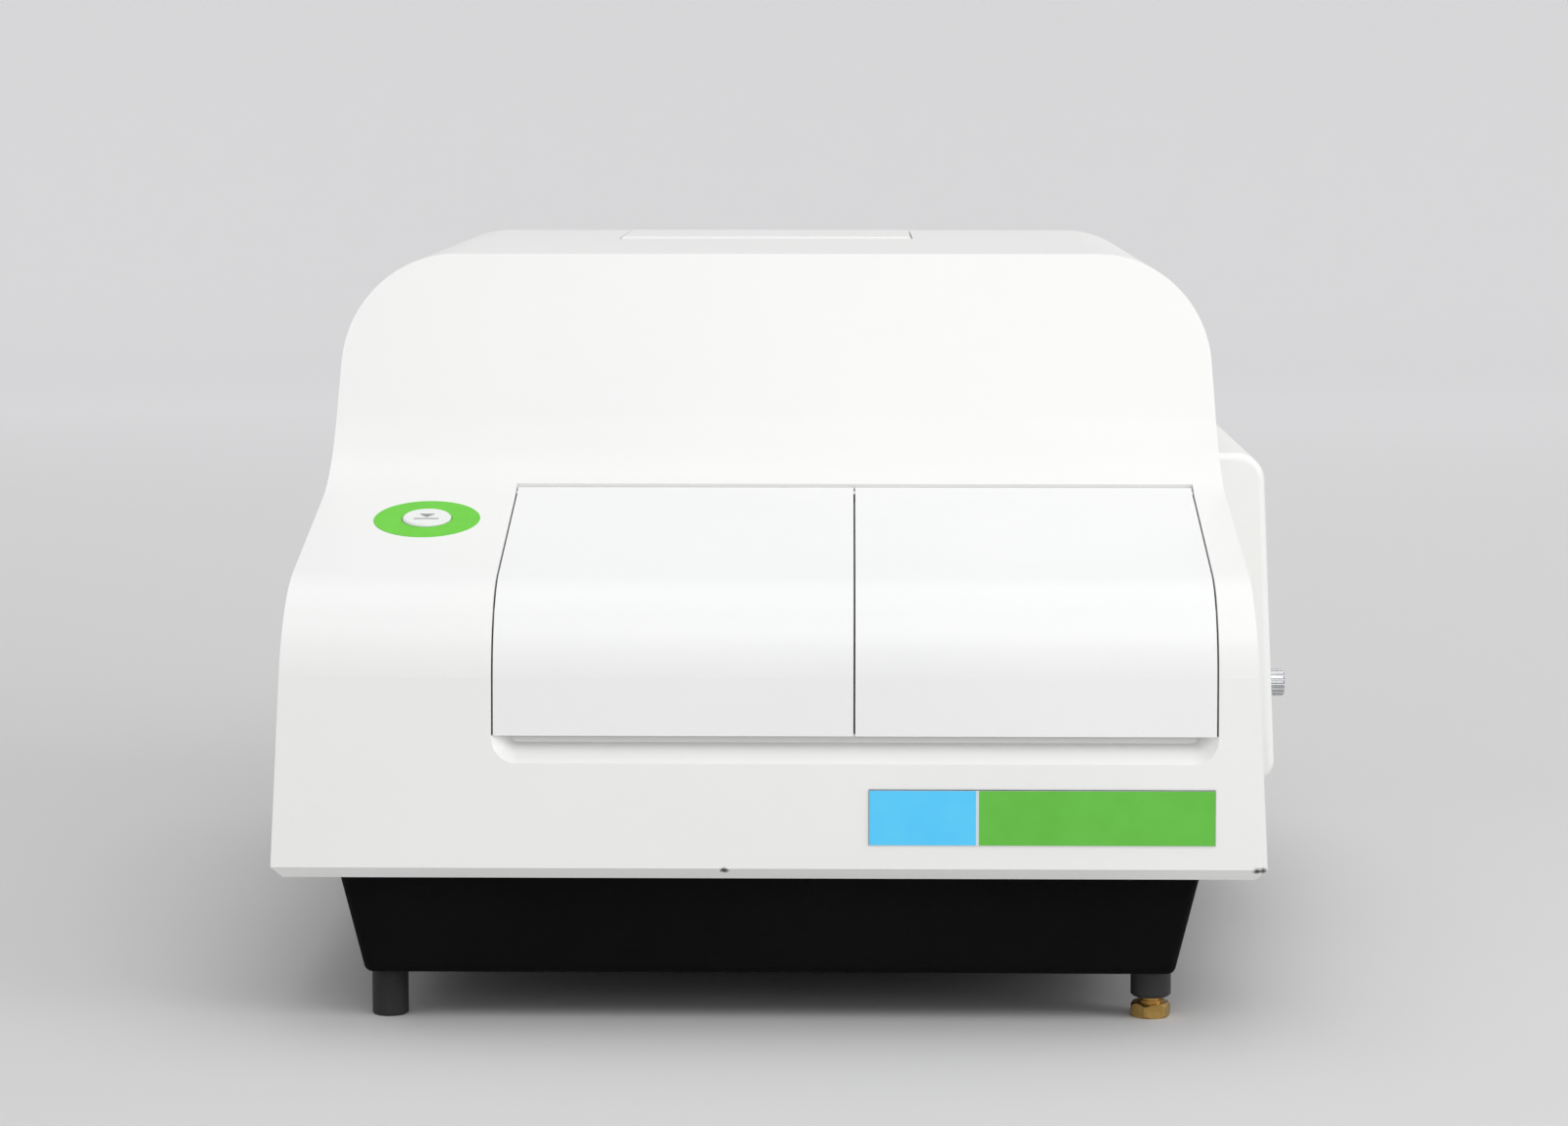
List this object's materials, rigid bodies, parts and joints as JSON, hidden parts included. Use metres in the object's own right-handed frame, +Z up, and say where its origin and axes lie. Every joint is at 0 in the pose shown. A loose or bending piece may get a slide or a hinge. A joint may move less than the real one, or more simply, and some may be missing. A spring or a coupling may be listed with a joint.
{
  "type": "microplate reader",
  "caption": "Bench microplate reader: arched white casing with sloping nose, flush doors, green ringed load button, blank badge, black base, side housing, plate transport and optics inside.",
  "frame": {"origin": "middle of the footprint on the bench", "axes": "+Z up, the front with the doors faces -Y, +X to the right seen from the front"},
  "size_m": [0.5042, 0.58, 0.3606],
  "materials": {
    "white_shell": "satin white paint",
    "white_door": "satin white paint",
    "black_paint": "fine black powder coat",
    "black_plastic": "black moulding",
    "foot_rubber": "black rubber",
    "brass": "turned brass",
    "steel": "ground steel",
    "aluminium": "satin aluminium",
    "zinc_sheet": "light grey sheet",
    "black_anodised": "black anodised",
    "grey_liner": "grey moulding",
    "carrier_grey": "grey moulding",
    "ring_green": "green ring",
    "badge_green": "printed green",
    "badge_blue": "printed blue",
    "badge_white": "white film",
    "button_white": "white button",
    "belt_rubber": "toothed belt",
    "filter_glass": "coated filter",
    "lens_glass": "coated lens",
    "lamp_glass": "lamp glass",
    "circuit_board": "green board"
  },
  "bodies": {
    "root": {"main_cover": "white_shell", "hinge_rods": "steel", "side_hinge_pins": "steel", "load_ring": "ring_green", "load_switch": "black_plastic", "badge_plate": "badge_white", "badge_blue": "badge_blue", "badge_green": "badge_green", "base_pan": "black_paint", "chassis_plate": "aluminium", "cover_screws": "steel", "fixed_feet": "foot_rubber", "levelling_post": "black_plastic", "rear_panel": "zinc_sheet", "power_inlet": "black_plastic", "serial_port": "steel", "usb_port": "steel", "switch_frame": "black_plastic", "fan_housing": "black_plastic", "fan_guard": "steel", "loading_bay": "grey_liner", "filter_bay": "grey_liner", "y_guide_rods": "steel", "rod_blocks": "aluminium", "y_motor": "black_anodised", "idler_post": "aluminium", "drive_belt": "belt_rubber", "head_bridge": "aluminium", "measuring_head": "black_anodised", "objective_lens": "lens_glass", "detector_housing": "black_anodised", "detector_tube": "lens_glass", "wheel_bracket": "aluminium", "wheel_motor": "black_anodised", "beam_tube": "black_anodised", "lamp_house": "aluminium", "lamp": "lamp_glass", "side_detector": "aluminium", "mainboard": "circuit_board", "power_supply": "zinc_sheet"},
    "left_door": {"plate_door": "white_door"},
    "right_door": {"filter_door": "white_door"},
    "lid": {"top_lid": "white_shell"},
    "side_housing": {"side_cover": "white_shell"},
    "side_fastener": {"side_thumbscrew": "steel"},
    "button": {"load_button": "button_white"},
    "carriage": {"y_carriage": "aluminium", "x_guide_rods": "steel", "x_motor": "black_anodised"},
    "leadscrew": {"x_leadscrew": "steel"},
    "carrier": {"plate_carrier": "carrier_grey"},
    "drive_wheel": {"drive_pulley": "aluminium"},
    "idler_wheel": {"idler_pulley": "aluminium"},
    "emission_bar": {"emission_slide": "black_anodised", "emission_filters": "filter_glass"},
    "filter_wheel": {"excitation_wheel": "black_anodised", "excitation_filters": "filter_glass"},
    "rotor": {"fan_rotor": "black_plastic"},
    "rocker": {"power_switch": "black_plastic"},
    "level_screw": {"levelling_foot": "brass"}
  },
  "joints": [
    {"name": "plate_door_hinge", "type": "hinge", "parent": "root", "child": "left_door", "pos_m": [-0.06197, -0.1264, 0.24117], "axis": [-1, 0, 0], "range_deg": [0, 100]},
    {"name": "filter_door_hinge", "type": "hinge", "parent": "root", "child": "right_door", "pos_m": [0.10878, -0.1264, 0.24117], "axis": [-1, 0, 0], "range_deg": [0, 100]},
    {"name": "top_lid_hinge", "type": "hinge", "parent": "root", "child": "lid", "pos_m": [-0.02692, 0.2728, 0.3564], "axis": [-1, 0, 0], "range_deg": [0, 100]},
    {"name": "side_cover_hinge", "type": "hinge", "parent": "root", "child": "side_housing", "pos_m": [0.22425, 0.1946, 0.17], "axis": [0, 0, 1], "range_deg": [0, 100]},
    {"name": "side_fastener_turn", "type": "hinge", "parent": "side_housing", "child": "side_fastener", "pos_m": [0.24212, -0.03, 0.131], "axis": [1, 0, 0], "range_deg": [0, 90]},
    {"name": "load_button_press", "type": "slide", "parent": "root", "child": "button", "axis": [0, 0.2351, -0.972], "range_m": [0, 0.002], "stiffness_N_per_m": 900, "springref_m": -0.0012},
    {"name": "carriage_travel", "type": "slide", "parent": "root", "child": "carriage", "axis": [0, -1, 0], "range_m": [0, 0.235]},
    {"name": "carrier_travel", "type": "slide", "parent": "carriage", "child": "carrier", "axis": [-1, 0, 0], "range_m": [-0.16, 0]},
    {"name": "leadscrew_turn", "type": "hinge", "parent": "carriage", "child": "leadscrew", "pos_m": [-0.01712, 0.14, 0.102], "axis": [1, 0, 0], "range_deg": [-5770, 10]},
    {"name": "drive_pulley_turn", "type": "hinge", "parent": "root", "child": "drive_wheel", "pos_m": [0.16088, 0.204, 0.1], "axis": [0, 0, 1], "range_deg": [-10, 1379]},
    {"name": "idler_pulley_turn", "type": "hinge", "parent": "root", "child": "idler_wheel", "pos_m": [0.16088, -0.108, 0.1], "axis": [0, 0, 1], "range_deg": [-10, 1379]},
    {"name": "emission_slide_travel", "type": "slide", "parent": "root", "child": "emission_bar", "axis": [0, -1, 0], "range_m": [0, 0.119]},
    {"name": "filter_wheel_turn", "type": "hinge", "parent": "root", "child": "filter_wheel", "pos_m": [0.04288, 0.1585, 0.214], "axis": [0, 1, 0], "continuous": true},
    {"name": "fan_turn", "type": "hinge", "parent": "root", "child": "rotor", "pos_m": [-0.13712, 0.271, 0.198], "axis": [0, 1, 0], "continuous": true},
    {"name": "power_switch_rock", "type": "hinge", "parent": "root", "child": "rocker", "pos_m": [0.13288, 0.282, 0.148], "axis": [1, 0, 0], "range_deg": [0, 14]},
    {"name": "levelling_foot_travel", "type": "slide", "parent": "root", "child": "level_screw", "axis": [0, 0, 1], "range_m": [-0.003, 0.0015]}
  ],
  "couplings": [
    {"joint": "leadscrew_turn", "follows": "carrier_travel", "rad_per_m": 628.32},
    {"joint": "drive_pulley_turn", "follows": "carriage_travel", "rad_per_m": 101.52},
    {"joint": "idler_pulley_turn", "follows": "carriage_travel", "rad_per_m": 101.52}
  ]
}
